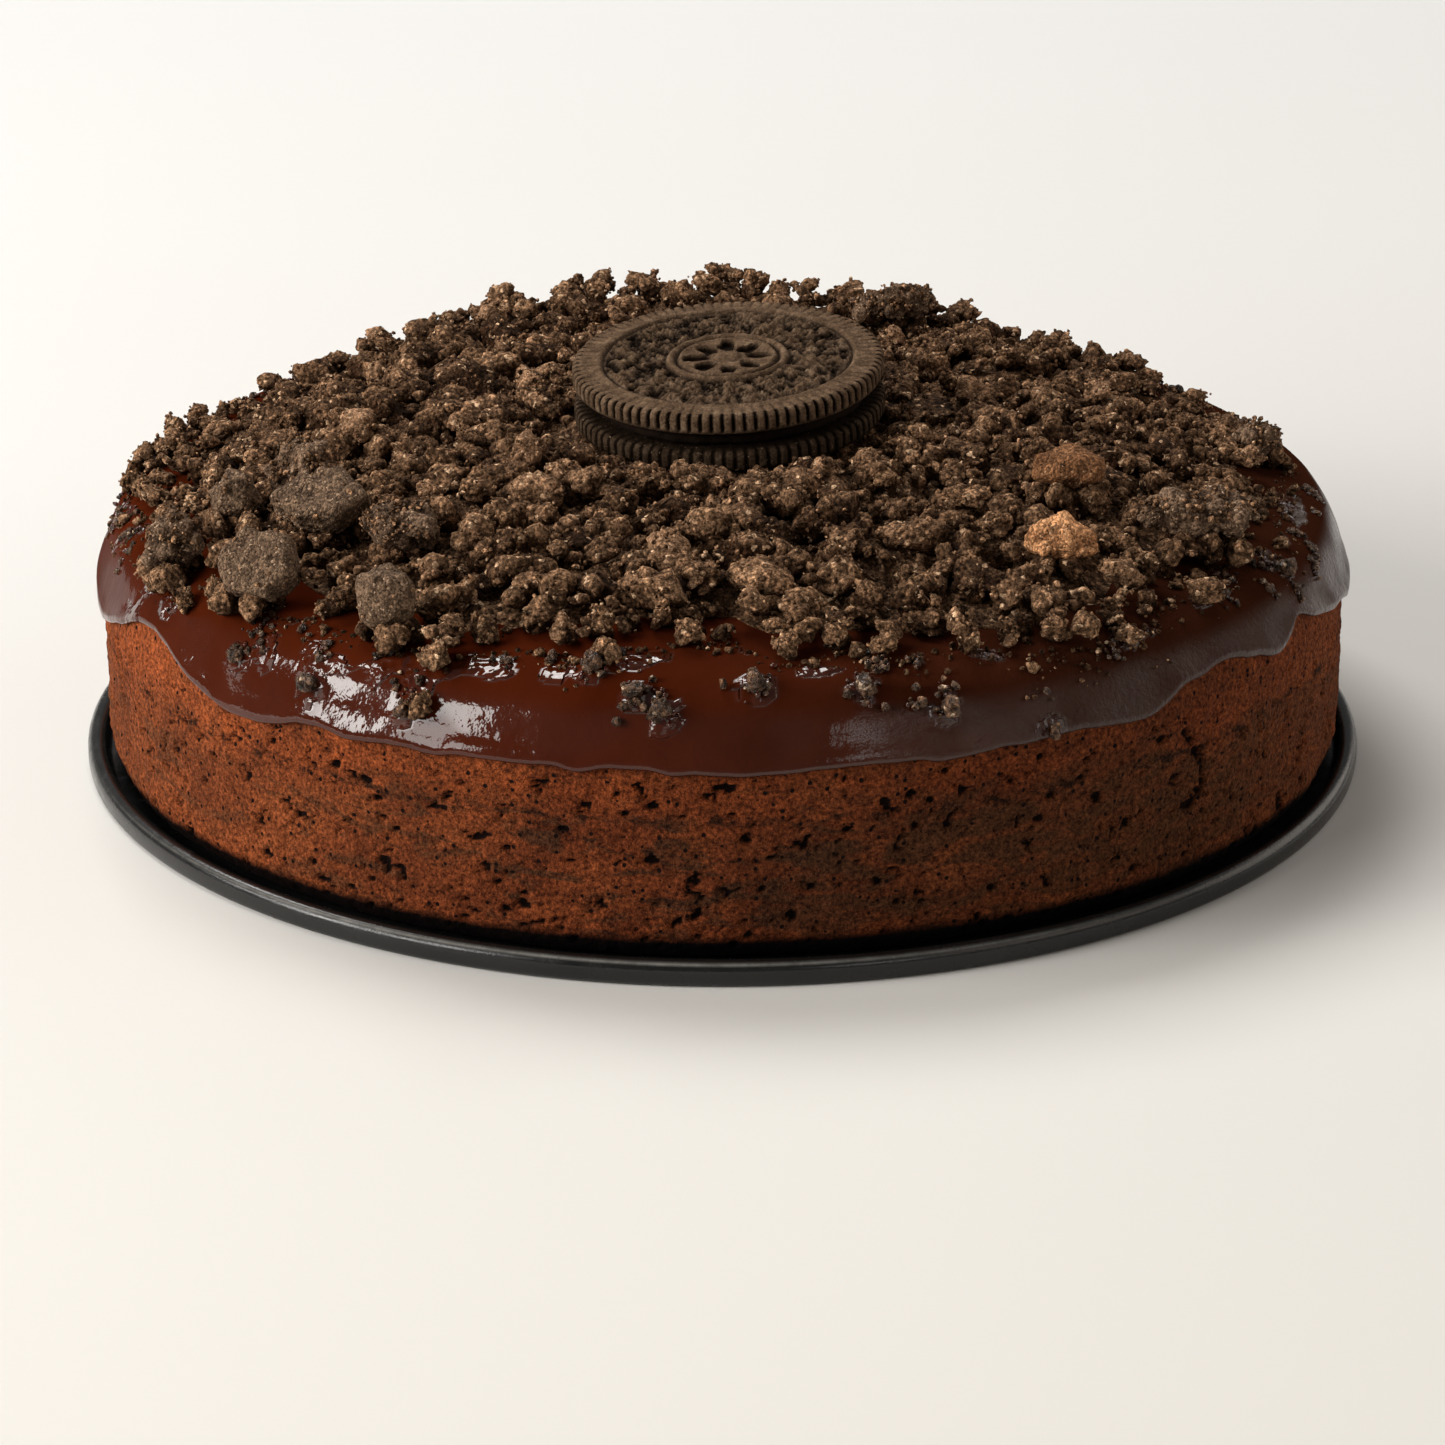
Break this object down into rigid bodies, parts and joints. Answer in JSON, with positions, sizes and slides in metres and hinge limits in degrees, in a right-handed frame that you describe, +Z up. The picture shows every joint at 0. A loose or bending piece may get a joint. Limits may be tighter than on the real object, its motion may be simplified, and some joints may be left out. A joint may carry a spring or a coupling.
{
  "type": "cookies and cream cake",
  "caption": "Round dark chocolate cake with a glossy glaze, heaped with crushed cookies, topped by a ribbed sandwich cookie, standing on its round black tin base.",
  "frame": {"origin": "on the ground under the centre of the round tin base", "axes": "+Z up, the side shown in the picture faces -Y, +X to the right of it"},
  "size_m": [0.184, 0.184, 0.0582],
  "materials": {
    "black_steel": "satin black non-stick coating",
    "sponge": "porous baked chocolate sponge",
    "glaze": "glossy chocolate glaze",
    "crumbs": "rough crushed cookie",
    "cookie_wafer": "matte dark cocoa wafer",
    "cookie_filling": "dark cocoa filling",
    "brown_nugget": "rough brown cookie and nut pieces"
  },
  "bodies": {
    "root": {"tin_base": "black_steel", "sponge": "sponge", "glaze": "glaze", "crumb_topping": "crumbs", "wafer_fragment_1": "cookie_wafer", "wafer_fragment_2": "cookie_wafer", "wafer_fragment_3": "cookie_wafer", "wafer_fragment_4": "cookie_wafer", "wafer_fragment_5": "cookie_wafer", "wafer_fragment_6": "cookie_wafer", "nugget_fragment_7": "brown_nugget", "nugget_fragment_8": "brown_nugget", "nugget_fragment_9": "brown_nugget", "nugget_fragment_10": "brown_nugget", "nugget_fragment_11": "brown_nugget", "nugget_fragment_12": "brown_nugget", "cookie_lower_wafer": "cookie_wafer", "cookie_filling": "cookie_filling", "cookie_upper_wafer": "cookie_wafer"}
  },
  "joints": []
}
